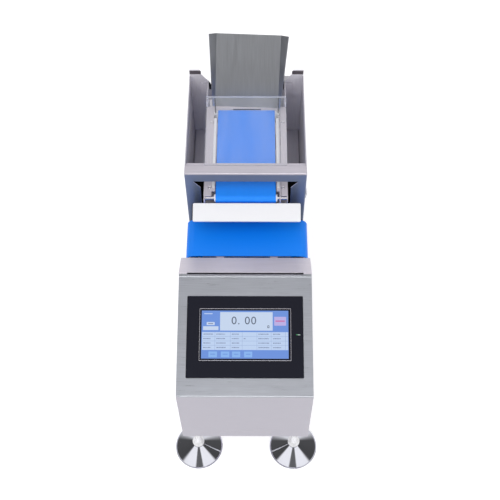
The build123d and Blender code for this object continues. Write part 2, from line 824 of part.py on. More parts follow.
# Chute brackets: side cheek, ledge under the chute and a flange on the rear wing
cheek = wing_inner
bracket_tab = 16.0
frame_y0 = nose_y - frame_nose
flange_y0 = nose_y - flange_nose
frame_y1 = drive_y + frame_tail
with BuildPart() as chute_brackets:
    for sign in (-1, 1):
        with BuildSketch(Plane.YZ.offset(sign * cheek)):
            add(
                outline(
                    [
                        (lid_end - bracket_lap, lid_z),
                        (lid_end - bracket_lap, lid_z - 1.4 * bracket_lap),
                        (frame_y1 + sheet, frame_top + bracket_lap),
                        (wing_y - seat, frame_top - bracket_lap),
                        (wing_y - seat, lid_z - 1.4 * bracket_lap),
                        (lid_end + bracket_lap, lid_z),
                    ]
                )
            )
        extrude(amount=sign * bracket_sheet)
        with BuildSketch(bracket_plane.offset(bracket_start)):
            width = bracket_ledge + bracket_sheet
            centre = cheek + bracket_sheet - width / 2
            with Locations((-sign * centre, -chute_sheet - bracket_sheet / 2)):
                Rectangle(width, bracket_sheet)
        extrude(amount=bracket_length)
        with BuildSketch(Plane.XZ.offset(-(wing_y - seat))):
            with Locations((sign * (cheek + bracket_tab / 2), (frame_top + lid_z) / 2 - bracket_lap)):
                Rectangle(bracket_tab, 2 * bracket_tab)
        extrude(amount=bracket_sheet)
save(chute_brackets.part, "chute_brackets")

# Pale junction box behind the right rear wing
box_size = (40.0, 34.0, 126.0)
box_gap = 3.0
box_edge = 2.5
box_x = side_inner - box_gap - box_size[0] / 2
with BuildPart() as junction_box:
    with BuildSketch(Plane.XY.offset(deck_z)):
        with Locations((box_x, wing_y + sheet + box_gap + box_size[1] / 2)):
            Rectangle(box_size[0], box_size[1])
    extrude(amount=box_size[2])
    chamfer(junction_box.edges().filter_by(Axis.Z), length=box_edge)
    chamfer(junction_box.faces().sort_by(Axis.Z)[-1].edges(), length=box_edge)
save(junction_box.part, "junction_box")

# White transfer plate and its two brackets on the portal
plate_angle = atan2(plate_rise, plate_run)
plate_plane = Plane(
    origin=(plate_shift, front_y + plate_front, belt_z - plate_drop - plate_rise),
    x_dir=(1, 0, 0),
    z_dir=(0, -sin(plate_angle), cos(plate_angle)),
)
plate_depth = sqrt(plate_rise**2 + plate_run**2)
with BuildPart() as transfer_plate:
    with BuildSketch(plate_plane):
        with Locations((0, plate_depth / 2)):
            RectangleRounded(plate_width, plate_depth, 2.5)
    extrude(amount=-plate_thickness)
    chamfer(transfer_plate.faces().sort_by(Axis.Z)[-1].edges().filter_by(Axis.X), length=0.6)
save(transfer_plate.part, "transfer_plate")

under = plate_thickness / cos(plate_angle) + seat
bracket_face = hood_y - seat
plate_slope = tan(plate_angle)


def under_plate(distance):
    """Level just under the plate at a distance from the front face."""
    return belt_z - plate_drop - (plate_rear - distance) * plate_slope - under


with BuildPart() as transfer_brackets:
    for sign in (-1, 1):
        with BuildSketch(Plane.YZ.offset(sign * plate_bracket_inner)):
            ledge_z = belt_z - plate_bracket_drop
            riser = plate_rear + plate_bracket_gap
            reach = plate_front + plate_thickness
            bracket_path = [
                (bracket_face, ledge_z - plate_bracket_flange),
                (bracket_face, ledge_z),
                (front_y + riser, ledge_z),
                (front_y + riser, under_plate(riser)),
                (front_y + reach, under_plate(reach)),
            ]
            add(bent_profile(bracket_path, fold, sheet, Side.LEFT))
        extrude(amount=sign * plate_bracket_width)
save(transfer_brackets.part, "transfer_brackets")

# Weigh conveyor frames: top flange notched for the roller collars, web with shaft holes
flange_inner = belt_width / 2 + belt_thickness
motor_y = drive_y - weigh_pitch_motor
motor_z = drive_z - weigh_drop_motor
bearing_radius = 8.0
for sign, name, web_outer in ((-1, "weigh_frame_left", frame_half_width),
                              (1, "weigh_frame_right", drive_web_inner + frame_sheet)):
    with BuildPart() as weigh_frame:
        with BuildSketch(Plane.YZ.offset(sign * web_outer)):
            with Locations(((frame_y0 + frame_y1) / 2, (frame_top + frame_bottom) / 2)):
                Rectangle(frame_y1 - frame_y0, frame_height)
            if sign > 0:
                with Locations((motor_y, (frame_bottom + motor_z - motor_radius) / 2)):
                    Rectangle(2 * motor_radius + 8, frame_bottom - motor_z + motor_radius)
                with Locations((motor_y, motor_z)):
                    Circle(7, mode=Mode.SUBTRACT)
            with Locations((nose_y, nose_z)):
                Circle(nose_shaft_radius + 0.02, mode=Mode.SUBTRACT)
            with Locations((drive_y, drive_z)):
                Circle(bearing_radius + 0.02, mode=Mode.SUBTRACT)
        extrude(amount=-sign * frame_sheet)
        with BuildSketch(Plane.XY.offset(frame_top)):
            with Locations((sign * (flange_inner + web_outer) / 2, (flange_y0 + frame_y1) / 2)):
                Rectangle(web_outer - flange_inner, frame_y1 - flange_y0)
            with Locations((sign * (flange_inner + notch_width / 2), flange_y0)):
                Rectangle(notch_width, 2 * notch_depth, mode=Mode.SUBTRACT)
            with Locations((sign * (flange_inner + notch_width / 2), drive_y)):
                Rectangle(notch_width, 2 * (drive_radius + 4), mode=Mode.SUBTRACT)
        extrude(amount=-frame_sheet)
        with BuildSketch(Plane.XY.offset(frame_top)):
            with Locations((sign * (web_outer - 1), frame_y0)):
                Rectangle(4 * frame_sheet, 2 * (flange_y0 - frame_y0))
        extrude(amount=-frame_sheet - 1, mode=Mode.SUBTRACT)
        corner = weigh_frame.edges().filter_by(Axis.Z).filter_by(
            lambda edge: abs(edge.center().Y - flange_y0) < seat
            and abs(abs(edge.center().X) - web_outer) < seat
        )
        fillet(corner, radius=frame_corner)
    save(weigh_frame.part, name)

# Drive cover: pale channel over the timing belt on the right
cover_inner = drive_web_inner + frame_sheet + cover_gap
pulley_margin = 6.0
with BuildPart() as drive_cover:
    with BuildSketch(Plane.YZ.offset(frame_half_width)):
        add(
            outline(
                [
                    (frame_y0, frame_bottom + 8),
                    (frame_y0, frame_top - frame_sheet),
                    (flange_y0, frame_top),
                    (frame_y1, frame_top),
                    (frame_y1, motor_z),
                    (motor_y + 6, motor_z - 8 - pulley_margin),
                    (motor_y - 8 - pulley_margin, motor_z - 8 - pulley_margin),
                    (motor_y - 8 - pulley_margin, frame_bottom + 8),
                ]
            )
        )
        with Locations((nose_y, nose_z)):
            Circle(nose_shaft_radius + 0.02, mode=Mode.SUBTRACT)
    extrude(amount=-cover_sheet)
    with BuildSketch(Plane.XY.offset(frame_top)):
        with Locations(((cover_inner + frame_half_width) / 2, (flange_y0 + frame_y1) / 2)):
            Rectangle(frame_half_width - cover_inner, frame_y1 - flange_y0)
    extrude(amount=-cover_sheet)
    for station in (flange_y0 + 40, frame_y1 - 60):
        with BuildSketch(Plane.XZ.offset(-station)):
            low = frame_top - 12
            high = frame_top - cover_sheet
            with Locations(((cover_inner + frame_half_width - cover_gap) / 2, (low + high) / 2)):
                Rectangle(frame_half_width - cover_inner + cover_gap, high - low)
        extrude(amount=-8)
save(drive_cover.part, "drive_cover")

# Slider bed between the frames, inside the belt loop
bed_top = belt_z - belt_thickness - belt_gap
bed_y0 = nose_y + nose_radius + 4
bed_y1 = drive_y - drive_radius - 4
bed_left = -(frame_half_width - frame_sheet)
with BuildPart() as weigh_bed:
    with BuildSketch(Plane.XY.offset(bed_top)):
        with Locations((0, (bed_y0 + bed_y1) / 2)):
            Rectangle(belt_width - 2, bed_y1 - bed_y0)
    extrude(amount=-sheet)
    for station in (bed_y0 + 30, bed_y1 - 30):
        with BuildSketch(Plane.YZ.offset(bed_left)):
            with Locations((station, bed_top - sheet - 4)):
                Rectangle(12, 8)
        extrude(amount=drive_web_inner - bed_left)
save(weigh_bed.part, "weigh_bed")

# Weigh belt
nose_inner = nose_radius + belt_gap
drive_inner = drive_radius + belt_gap
with BuildPart() as weigh_belt:
    with BuildSketch(Plane.YZ.offset(-belt_width / 2)):
        add(loop_profile((nose_y, nose_z), nose_inner, (drive_y, drive_z), drive_inner, belt_thickness))
    extrude(amount=belt_width)
save(weigh_belt.part, "weigh_belt")

# Nose shaft, fixed in the frames, and the roller that turns on it between white collars
with BuildPart() as nose_shaft:
    with BuildSketch(Plane.YZ.offset(-frame_half_width)):
        with Locations((nose_y, nose_z)):
            Circle(nose_shaft_radius)
    extrude(amount=2 * frame_half_width)
save(nose_shaft.part, "nose_shaft")

roller_half = belt_width / 2 + collar_width
with BuildPart() as nose_roller:
    with BuildSketch(Plane.YZ.offset(-roller_half)):
        with Locations((nose_y, nose_z)):
            Circle(nose_radius)
            Circle(nose_shaft_radius + running, mode=Mode.SUBTRACT)
    extrude(amount=2 * roller_half)
save(nose_roller.part, "nose_roller")

# Drive roller with its journals, bearings, pulleys, timing belt and gear motor
journal_left = -frame_half_width
with BuildPart() as drive_roller:
    with BuildSketch(Plane.YZ.offset(-roller_half)):
        with Locations((drive_y, drive_z)):
            Circle(drive_radius)
    extrude(amount=2 * roller_half)
    with BuildSketch(Plane.YZ.offset(journal_left)):
        with Locations((drive_y, drive_z)):
            Circle(drive_journal_radius)
    extrude(amount=journal_right - journal_left)
save(drive_roller.part, "drive_roller")

with BuildPart() as weigh_bearings:
    for low_x in (-frame_half_width, drive_web_inner):
        with BuildSketch(Plane.YZ.offset(low_x)):
            with Locations((drive_y, drive_z)):
                Circle(bearing_radius)
                Circle(drive_journal_radius + running, mode=Mode.SUBTRACT)
        extrude(amount=frame_sheet)
save(weigh_bearings.part, "weigh_bearings")


def pulley_section(teeth, bore):
    """Toothed pulley with round-bottomed grooves, centred on its axis."""
    radius = teeth * tooth_pitch / 6.2832
    with BuildSketch() as section:
        Circle(radius)
        with PolarLocations(radius, teeth):
            Circle(tooth_pitch * 0.24, mode=Mode.SUBTRACT)
        Circle(bore, mode=Mode.SUBTRACT)
    return section.sketch


motor_shaft_radius = 2.5
drive_pulley_radius = drive_pulley_teeth * tooth_pitch / 6.2832
motor_pulley_radius = motor_pulley_teeth * tooth_pitch / 6.2832
with BuildPart() as drive_pulley:
    with BuildSketch(Plane.YZ.offset(pulley_x)):
        with Locations((drive_y, drive_z)):
            add(pulley_section(drive_pulley_teeth, drive_journal_radius + running))
    extrude(amount=timing_width)
save(drive_pulley.part, "drive_pulley")

with BuildPart() as motor_pulley:
    with BuildSketch(Plane.YZ.offset(pulley_x)):
        with Locations((motor_y, motor_z)):
            add(pulley_section(motor_pulley_teeth, motor_shaft_radius + running))
    extrude(amount=timing_width)
save(motor_pulley.part, "motor_pulley")

with BuildPart() as motor_shaft:
    with BuildSketch(Plane.YZ.offset(drive_web_inner - 10)):
        with Locations((motor_y, motor_z)):
            Circle(motor_shaft_radius)
    extrude(amount=journal_right - drive_web_inner + 10)
save(motor_shaft.part, "motor_shaft")

with BuildPart() as timing_belt:
    with BuildSketch(Plane.YZ.offset(pulley_x + 0.5)):
        add(
            loop_profile(
                (motor_y, motor_z),
                motor_pulley_radius + belt_gap,
                (drive_y, drive_z),
                drive_pulley_radius + belt_gap,
                timing_thickness,
            )
        )
    extrude(amount=timing_width - 1)
save(timing_belt.part, "timing_belt")

gearbox_length = 22.0
with BuildPart() as weigh_motor:
    with BuildSketch(Plane.YZ.offset(drive_web_inner)):
        with Locations((motor_y, motor_z)):
            Circle(motor_radius)
    extrude(amount=-gearbox_length)
    with BuildSketch(Plane.YZ.offset(drive_web_inner - gearbox_length)):
        with Locations((motor_y, motor_z)):
            Circle(motor_radius - 2)
    extrude(amount=-(motor_length - gearbox_length))
    chamfer(weigh_motor.faces().sort_by(Axis.X)[0].edges(), length=1.5)
    with BuildSketch(Plane.YZ.offset(drive_web_inner)):
        with Locations((motor_y, motor_z)):
            Circle(motor_shaft_radius + running)
    extrude(amount=-12, mode=Mode.SUBTRACT)
save(weigh_motor.part, "weigh_motor")

# Load cell on its pedestal, and the cradle that it lifts the conveyor with
cradle_rear = motor_y - motor_radius - cradle_gap
cell_y = cradle_rear - cell_length / 2
cell_z = deck_z + cell_rise
pad_length = 36.0
with BuildPart() as load_cell:
    with BuildSketch(Plane.YZ.offset(-cell_width / 2)):
        with Locations((cell_y, cell_z + cell_height / 2)):
            Rectangle(cell_length, cell_height)
            with Locations((-15, 0), (15, 0)):
                Circle(7.5, mode=Mode.SUBTRACT)
            Rectangle(30, 8, mode=Mode.SUBTRACT)
    extrude(amount=cell_width)
save(load_cell.part, "load_cell")

fixed_y = cell_y - cell_length / 2 + pad_length / 2
free_y = cell_y + cell_length / 2 - pad_length / 2
with BuildPart() as cell_pedestal:
    with BuildSketch(Plane.XY.offset(deck_z)):
        with Locations((0, fixed_y)):
            RectangleRounded(cell_width + 30, pad_length + 20, 4)
    extrude(amount=6)
    with BuildSketch(Plane.XY.offset(deck_z + 6)):
        with Locations((0, fixed_y)):
            Rectangle(cell_width, pad_length)
    extrude(amount=cell_rise - 6)
save(cell_pedestal.part, "cell_pedestal")

cradle_z = cell_z + cell_height + cell_spacer
cradle_left = -(frame_half_width - frame_sheet)
cradle_top = frame_bottom + 20
with BuildPart() as weigh_cradle:
    with BuildSketch(Plane.XZ.offset(-(cradle_rear - cradle_length))):
        cradle_path = [
            (cradle_left, cradle_top),
            (cradle_left, cradle_z),
            (drive_web_inner, cradle_z),
            (drive_web_inner, cradle_top),
        ]
        add(bent_profile(cradle_path, cradle_sheet + 1, cradle_sheet, Side.LEFT))
    extrude(amount=-cradle_length)
    with BuildSketch(Plane.XY.offset(cradle_z)):
        with Locations((0, free_y)):
            Rectangle(cell_width, pad_length)
    extrude(amount=-cell_spacer)
save(weigh_cradle.part, "weigh_cradle")

# Cross conveyor: rails on the deck, slider bed, rollers, belt and gear motor
rail_top = cross_z - rail_drop
front_rail_y = cross_y - rail_gap
rear_rail_y = cross_end_y + rail_gap
cross_bearing_radius = 7.5
rail_flange = 24.0
for sign, name, face_y in ((-1, "cross_rail_front", front_rail_y), (1, "cross_rail_rear", rear_rail_y)):
    with BuildPart() as cross_rail:
        with BuildSketch(Plane.XZ.offset(-face_y)):
            with Locations((cross_shift, (deck_z + rail_top) / 2)):
                Rectangle(2 * rail_half_length, rail_top - deck_z)
            with Locations((cross_left_x, cross_axis_z), (cross_right_x, cross_axis_z)):
                Circle(cross_bearing_radius, mode=Mode.SUBTRACT)
        extrude(amount=-sign * rail_sheet)
        with BuildSketch(Plane.XY.offset(deck_z)):
            with Locations((cross_shift, face_y - sign * rail_flange / 2)):
                Rectangle(2 * rail_half_length - rail_flange, rail_flange)
        extrude(amount=rail_sheet)
    save(cross_rail.part, name)

cross_bed_top = cross_z - cross_belt_thickness - belt_gap
bed_rail_inset = 50.0
cross_bed_half = cross_roller_x - cross_roller_radius - 4
with BuildPart() as cross_bed:
    with BuildSketch(Plane.XY.offset(cross_bed_top)):
        with Locations((cross_shift, (front_rail_y + rear_rail_y) / 2)):
            Rectangle(2 * cross_bed_half, cross_width - 1)
    extrude(amount=-sheet)
    for x in (cross_left_x + bed_rail_inset, cross_right_x - bed_rail_inset):
        with BuildSketch(Plane.XZ.offset(-front_rail_y)):
            with Locations((x, cross_bed_top - sheet - 5)):
                Rectangle(14, 10)
        extrude(amount=-(rear_rail_y - front_rail_y))
save(cross_bed.part, "cross_bed")

cross_inner = cross_roller_radius + belt_gap
with BuildPart() as cross_belt:
    with BuildSketch(Plane.XZ.offset(-cross_y)):
        add(
            loop_profile(
                (cross_left_x, cross_axis_z),
                cross_inner,
                (cross_right_x, cross_axis_z),
                cross_inner,
                cross_belt_thickness,
            )
        )
    extrude(amount=-cross_width)
save(cross_belt.part, "cross_belt")

motor_bore_depth = 18.0
journal_rear = rear_rail_y + rail_sheet
journal_front = front_rail_y - rail_sheet
gearbox_face = console_rear - sheet
for x, name, front_end in (
    (cross_left_x, "cross_idle_roller", journal_front),
    (cross_right_x, "cross_drive_roller", gearbox_face - motor_bore_depth + 2),
):
    with BuildPart() as cross_roller:
        with BuildSketch(Plane.XZ.offset(-(cross_y - 0.5))):
            with Locations((x, cross_axis_z)):
                Circle(cross_roller_radius)
        extrude(amount=-(cross_width + 1))
        with BuildSketch(Plane.XZ.offset(-front_end)):
            with Locations((x, cross_axis_z)):
                Circle(cross_journal_radius)
        extrude(amount=-(journal_rear - front_end))
    save(cross_roller.part, name)

with BuildPart() as cross_bearings:
    for x in (cross_left_x, cross_right_x):
        for start in (journal_front, rear_rail_y):
            with BuildSketch(Plane.XZ.offset(-start)):
                with Locations((x, cross_axis_z)):
                    Circle(cross_bearing_radius)
                    Circle(cross_journal_radius + running, mode=Mode.SUBTRACT)
            extrude(amount=-rail_sheet)
save(cross_bearings.part, "cross_bearings")

cross_gearbox = 26.0
with BuildPart() as cross_motor:
    with BuildSketch(Plane.XZ.offset(-gearbox_face)):
        with Locations((cross_right_x, cross_axis_z)):
            Circle(cross_motor_radius)
    extrude(amount=cross_gearbox)
    with BuildSketch(Plane.XZ.offset(-gearbox_face + cross_gearbox)):
        with Locations((cross_right_x, cross_axis_z)):
            Circle(cross_motor_radius - 2)
    extrude(amount=cross_motor_length - cross_gearbox)
    with BuildSketch(Plane.XZ.offset(-gearbox_face)):
        with Locations((cross_right_x, cross_axis_z)):
            Circle(cross_journal_radius + running)
    extrude(amount=motor_bore_depth, mode=Mode.SUBTRACT)
save(cross_motor.part, "cross_motor")
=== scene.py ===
"""Finishes, small fittings, studio and camera for the checkweigher, in metres."""

import math

import bmesh
import bpy
from mathutils import Matrix, Vector


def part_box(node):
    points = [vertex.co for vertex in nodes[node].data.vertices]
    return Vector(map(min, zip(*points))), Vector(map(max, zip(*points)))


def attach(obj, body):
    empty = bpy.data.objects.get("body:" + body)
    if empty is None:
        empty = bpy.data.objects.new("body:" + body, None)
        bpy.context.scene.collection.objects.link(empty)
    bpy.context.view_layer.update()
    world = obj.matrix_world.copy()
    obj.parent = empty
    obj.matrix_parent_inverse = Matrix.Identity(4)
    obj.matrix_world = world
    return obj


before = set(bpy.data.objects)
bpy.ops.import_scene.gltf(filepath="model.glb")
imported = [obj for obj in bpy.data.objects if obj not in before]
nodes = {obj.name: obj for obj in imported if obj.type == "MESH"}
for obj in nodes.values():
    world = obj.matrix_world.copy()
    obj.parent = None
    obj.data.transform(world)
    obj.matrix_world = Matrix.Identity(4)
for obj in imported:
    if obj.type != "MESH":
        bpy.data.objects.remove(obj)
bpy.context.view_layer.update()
scene = bpy.context.scene
scene.view_settings.view_transform = "Standard"

# Camera, solved against points of the object in the photograph
camera_data = bpy.data.cameras.new("camera")
camera_data.lens = 63.0
camera_data.sensor_width = 36.0
camera_data.clip_start = 0.05
camera_data.clip_end = 20.0
camera = bpy.data.objects.new("camera", camera_data)
scene.collection.objects.link(camera)
scene.camera = camera
camera_place = (0.01598, -0.94396, 1.78324)
across = Vector((0.99998606, 0.00441985, -0.00288758))
upward = Vector((-0.00224502, 0.85101496, 0.52513664))
backward = Vector((0.0047784, -0.52512284, 0.85101303))
camera_turn = Matrix((across, upward, backward)).transposed().to_4x4()
camera.matrix_world = Matrix.Translation(camera_place) @ camera_turn

# Materials
noise_roughness = 0.55
bevel_samples = 4
sheet_edge = 0.0006
moulded_edge = 0.0004
belt_edge = 0.0005
hub_top = 0.0275
stem_start = 0.0290
white = (1, 1, 1, 1)


class Wiring:
    """A node tree with shorthands for adding and joining nodes."""

    def __init__(self, tree):
        self.tree = tree

    def join(self, value, socket):
        if isinstance(value, bpy.types.NodeSocket):
            self.tree.links.new(value, socket)
        else:
            socket.default_value = value

    def node(self, kind, **inputs):
        made = self.tree.nodes.new(kind)
        for key, value in inputs.items():
            self.join(value, made.inputs[key.replace("_", " ")])
        return made

    def math(self, operation, *values):
        made = self.tree.nodes.new("ShaderNodeMath")
        made.operation = operation
        for socket, value in zip(made.inputs, values):
            self.join(value, socket)
        return made.outputs[0]

    def ramp(self, value, low, high, start=0.3, end=0.7, smooth=False):
        """A value taken from the range start to end over to the range low to high."""
        made = self.node("ShaderNodeMapRange", Value=value)
        if smooth:
            made.interpolation_type = "SMOOTHSTEP"
        limits = {"From Min": start, "From Max": end, "To Min": low, "To Max": high}
        for key, number in limits.items():
            made.inputs[key].default_value = number
        return made.outputs["Result"]

    def mix(self, factor, first, second):
        made = self.tree.nodes.new("ShaderNodeMix")
        made.data_type = "RGBA"
        for place, value in ((0, factor), (6, first), (7, second)):
            self.join(value, made.inputs[place])
        return made.outputs[2]

    def stops(self, value, places):
        """A smooth grey scale through pairs of place and brightness."""
        made = self.node("ShaderNodeValToRGB", Fac=value)
        made.color_ramp.interpolation = "EASE"
        elements = made.color_ramp.elements
        while len(elements) < len(places):
            elements.new(0.5)
        for element, (place, grey) in zip(elements, places):
            element.position = place
            element.color = (grey, grey, grey, 1)
        return made.outputs["Color"]


class Paint(Wiring):
    """A material under construction, with its shader."""

    def __init__(self, name, metallic=0.0, ior=1.5):
        self.material = bpy.data.materials.new(name)
        self.material.use_nodes = True
        super().__init__(self.material.node_tree)
        self.shader = self.tree.nodes["Principled BSDF"]
        self.set("Metallic", metallic)
        self.set("IOR", ior)
        self.place = self.node("ShaderNodeTexCoord").outputs["Object"]

    def set(self, key, value):
        self.join(value, self.shader.inputs[key])

    def noise(self, scale, detail=3.0, stretch=(1, 1, 1)):
        where = self.node("ShaderNodeMapping", Vector=self.place, Scale=stretch)
        made = self.node(
            "ShaderNodeTexNoise",
            Vector=where.outputs["Vector"],
            Scale=scale,
            Detail=detail,
            Roughness=noise_roughness,
        )
        return made.outputs["Fac"]

    def wave(self, scale, direction):
        made = self.node("ShaderNodeTexWave", Vector=self.place, Scale=scale)
        made.bands_direction = direction
        return made.outputs["Fac"]

    def height_of(self, vector):
        return self.node("ShaderNodeSeparateXYZ", Vector=vector).outputs["Z"]

    def facing_up(self):
        return self.height_of(self.node("ShaderNodeNewGeometry").outputs["Normal"])

    def relief(self, height, strength, distance, edge=0.0):
        """Bump from a height, over softly rounded edges."""
        made = self.node("ShaderNodeBump", Height=height, Strength=strength, Distance=distance)
        if edge:
            rounded = self.node("ShaderNodeBevel", Radius=edge)
            rounded.samples = bevel_samples
            self.join(rounded.outputs["Normal"], made.inputs["Normal"])
        self.set("Normal", made.outputs["Normal"])


def rgb(red, green, blue):
    """Linear colour from display values of 0 to 255."""
    linear = []
    for value in (red, green, blue):
        share = value / 255
        linear.append(share / 12.92 if share <= 0.04045 else ((share + 0.055) / 1.055) ** 2.4)
    return (*linear, 1.0)


def shade(colour, factor):
    return (*(min(1.0, part * factor) for part in colour[:3]), 1.0)


def brushed(name, colour, roughness, grain, metallic=1.0, upright_painted_light=None):
    """Brushed metal: fine streaks and faint smears and, if asked, a painted light tone of its own
    on upright faces.
    """
    paint = Paint(name, metallic=metallic)
    streaks = paint.noise(3.0, 4.0, grain)
    smears = paint.noise(9.0, 3.0)
    toned = paint.mix(paint.ramp(streaks, 0, 1), shade(colour, 0.90), shade(colour, 1.08))
    patch = paint.mix(paint.ramp(smears, 0, 0.35), toned, shade(colour, 0.86))
    # Painted light: upright faces take their own colour, standing in for the light, shade and
    # reflection they get in the studio
    if upright_painted_light:
        patch = paint.mix(paint.ramp(paint.facing_up(), 1, 0, 0.15, 0.5), patch, upright_painted_light)
    paint.set("Base Color", patch)
    paint.set("Roughness", paint.ramp(streaks, roughness * 0.85, roughness * 1.18))
    paint.relief(streaks, 0.12, 0.0002, sheet_edge)
    return paint.material


def moulded(name, colour, roughness, grain, wear=0.12, metallic=0.0, shine=0.5):
    """Moulded or coated surface: fine grain, faint tone changes and dulled patches."""
    paint = Paint(name, metallic=metallic)
    fine = paint.noise(grain, 2.0)
    broad = paint.noise(14.0, 4.0)
    paint.set("Base Color", paint.mix(paint.ramp(broad, 0, wear), colour, shade(colour, 0.7)))
    paint.set("Roughness", paint.ramp(broad, roughness * 0.9, roughness * 1.12))
    paint.set("Specular IOR Level", shine)
    paint.relief(fine, 0.15, 0.00015, moulded_edge)
    return paint.material


def belting(name, colour, along):
    """Conveyor belting: a woven carrier under a smooth face, with faint running marks."""
    paint = Paint(name)
    stretch = (1, 0.02, 1) if along == "Y" else (0.02, 1, 1)
    marks = paint.noise(160.0, 3.0, stretch)
    cloud = paint.noise(11.0, 3.0)
    weave = paint.math("MULTIPLY", paint.wave(260.0, "X"), paint.wave(260.0, "Y"))
    toned = paint.mix(paint.ramp(cloud, 0, 0.3), colour, shade(colour, 0.88))
    toned = paint.mix(paint.ramp(marks, 0, 0.16, 0.5, 0.75), toned, shade(colour, 0.82))
    paint.set("Base Color", toned)
    paint.set("Roughness", paint.ramp(cloud, 0.42, 0.52))
    paint.set("Specular IOR Level", 0.35)
    paint.relief(weave, 0.10, 0.00012, belt_edge)
    return paint.material


def polished(name, colour, roughness):
    """Bright plating with faint turning marks."""
    paint = Paint(name, metallic=1.0)
    haze = paint.noise(60.0, 3.0)
    paint.set("Base Color", paint.mix(paint.ramp(haze, 0, 0.2), colour, shade(colour, 0.9)))
    paint.set("Roughness", paint.ramp(haze, roughness * 0.7, roughness * 1.5))
    paint.relief(haze, 0.02, 0.0001)
    return paint.material


def plated_foot(name, colour, roughness):
    """Bright plating on a spun pad, and a brighter rolled thread above its hub."""
    paint = Paint(name, metallic=1.0)
    haze = paint.noise(60.0, 3.0)
    stem = paint.ramp(paint.height_of(paint.place), 0, 1, hub_top, stem_start)
    toned = paint.mix(paint.ramp(haze, 0, 0.2), colour, shade(colour, 0.9))
    paint.set("Base Color", paint.mix(stem, toned, rgb(246, 246, 248)))
    paint.set("Metallic", paint.ramp(stem, 1.0, 0.25, 0.0, 1.0))
    paint.set("Roughness", paint.ramp(haze, roughness * 0.7, roughness * 1.5))
    paint.relief(paint.math("MULTIPLY", paint.wave(250.0, "Z"), stem), 0.3, 0.0003)
    return paint.material


def clear_sheet(name):
    """Clear rigid plastic with a slight haze, faint wipe marks and brighter cut edges."""
    paint = Paint(name, ior=1.49)
    wipes = paint.noise(30.0, 4.0, (1, 0.15, 1))
    tone = paint.mix(paint.ramp(wipes, 0, 1), rgb(240, 243, 250), rgb(250, 250, 253))
    paint.set("Base Color", tone)
    flat = paint.math("ABSOLUTE", paint.facing_up())
    haze = paint.ramp(wipes, 0.06, 0.10)
    edges = paint.ramp(flat, 0.44, 0.0, 0.3, 0.8)
    paint.set("Alpha", paint.math("MAXIMUM", haze, edges))
    paint.set("Roughness", paint.ramp(wipes, 0.05, 0.12))
    return paint.material


def lit(name, colour, strength=0.84):
    """A tint of the lit display, behind a faint pixel structure."""
    paint = Paint(name)
    pixels = paint.node("ShaderNodeTexVoronoi", Vector=paint.place, Scale=2600.0)
    dim = paint.ramp(pixels.outputs["Distance"], 0, 0.10, 0.0, 1.0)
    paint.set("Base Color", shade(colour, 0.15))
    paint.set("Emission Color", paint.mix(dim, colour, shade(colour, 0.8)))
    paint.set("Emission Strength", strength)
    paint.set("Roughness", 0.25)
    return paint.material


# Scale of the streaks on each axis: they run along the axis with the small number
along_x = (6, 420, 420)
along_y = (420, 6, 420)
along_z = (420, 420, 6)

looks = {
    # Painted shade: the console's upright front is darker than its slope
    "console_steel": brushed(
        "console_steel", rgb(200, 203, 210), 0.32, (8, 420, 420), upright_painted_light=rgb(166, 163, 172)
    ),
    "cap_steel": brushed("cap_steel", rgb(226, 220, 229), 0.36, along_x, metallic=0.35),
    # Painted reflection and shade: the portal's upright faces take a darker blue-grey for the blue
    # belts mirrored in them
    "portal_steel": brushed(
        "portal_steel",
        rgb(206, 201, 211),
        0.36,
        along_x,
        metallic=0.6,
        upright_painted_light=rgb(108, 120, 146),
    ),
    "hood_steel": brushed("hood_steel", rgb(233, 230, 238), 0.34, along_z, metallic=0.1),
    "base_steel": brushed("base_steel", rgb(192, 189, 198), 0.34, along_y, metallic=0.35),
    "chute_steel": brushed("chute_steel", rgb(188, 190, 195), 0.34, (420, 8, 8)),
    "bracket_dark": moulded("bracket_dark", rgb(46, 45, 52), 0.5, 700.0, metallic=0.3),
    "frame_alloy": brushed("frame_alloy", rgb(214, 208, 216), 0.42, along_y, metallic=0.3),
    # Painted shade: the darker base colour dulls the faces that look up; upright faces keep the
    # paler steel tone of the wings
    "bracket_steel": brushed(
        "bracket_steel",
        rgb(176, 173, 182),
        0.4,
        along_z,
        metallic=0.1,
        upright_painted_light=rgb(230, 227, 235),
    ),
    "cover_paint": moulded("cover_paint", rgb(205, 203, 208), 0.4, 900.0),
    "weigh_blue": belting("weigh_blue", rgb(30, 140, 255), "Y"),
    "cross_blue": belting("cross_blue", rgb(4, 132, 250), "X"),
    "plate_white": moulded("plate_white", rgb(240, 240, 243), 0.42, 500.0, wear=0.05),
    "lid_clear": clear_sheet("lid_clear"),
    "roller_white": moulded("roller_white", rgb(238, 238, 240), 0.35, 900.0),
    "turned_steel": polished("turned_steel", rgb(232, 230, 234), 0.22),
    "pulley_alloy": polished("pulley_alloy", rgb(198, 198, 202), 0.24),
    "timing_black": moulded("timing_black", rgb(28, 28, 30), 0.6, 500.0),
    "motor_dark": moulded("motor_dark", rgb(62, 62, 66), 0.45, 600.0, metallic=0.3),
    "chrome": plated_foot("chrome", rgb(228, 229, 238), 0.05),
    "bezel_black": moulded("bezel_black", rgb(26, 27, 37), 0.40, 900.0, wear=0.06, shine=0.12),
    "glass_black": moulded("glass_black", rgb(24, 25, 35), 0.18, 1200.0, wear=0.04, shine=0.15),
    "plastic_black": moulded("plastic_black", rgb(34, 34, 37), 0.5, 700.0),
    "zinc": brushed("zinc", rgb(190, 192, 196), 0.4, (60, 60, 60)),
    # Painted shade: near-black finish for the sheets laid on the deck
    "painted_shade_black": moulded("painted_shade_black", rgb(9, 9, 11), 0.8, 500.0, shine=0.1),
    # Painted dark reflection: finish for the pads over the wings' top tabs
    "tab_painted_shade": moulded("tab_painted_shade", rgb(92, 86, 92), 0.6, 500.0, shine=0.2),
    "board_green": moulded("board_green", rgb(26, 92, 58), 0.4, 900.0),
    "rim_silver": polished("rim_silver", rgb(214, 212, 218), 0.2),
}
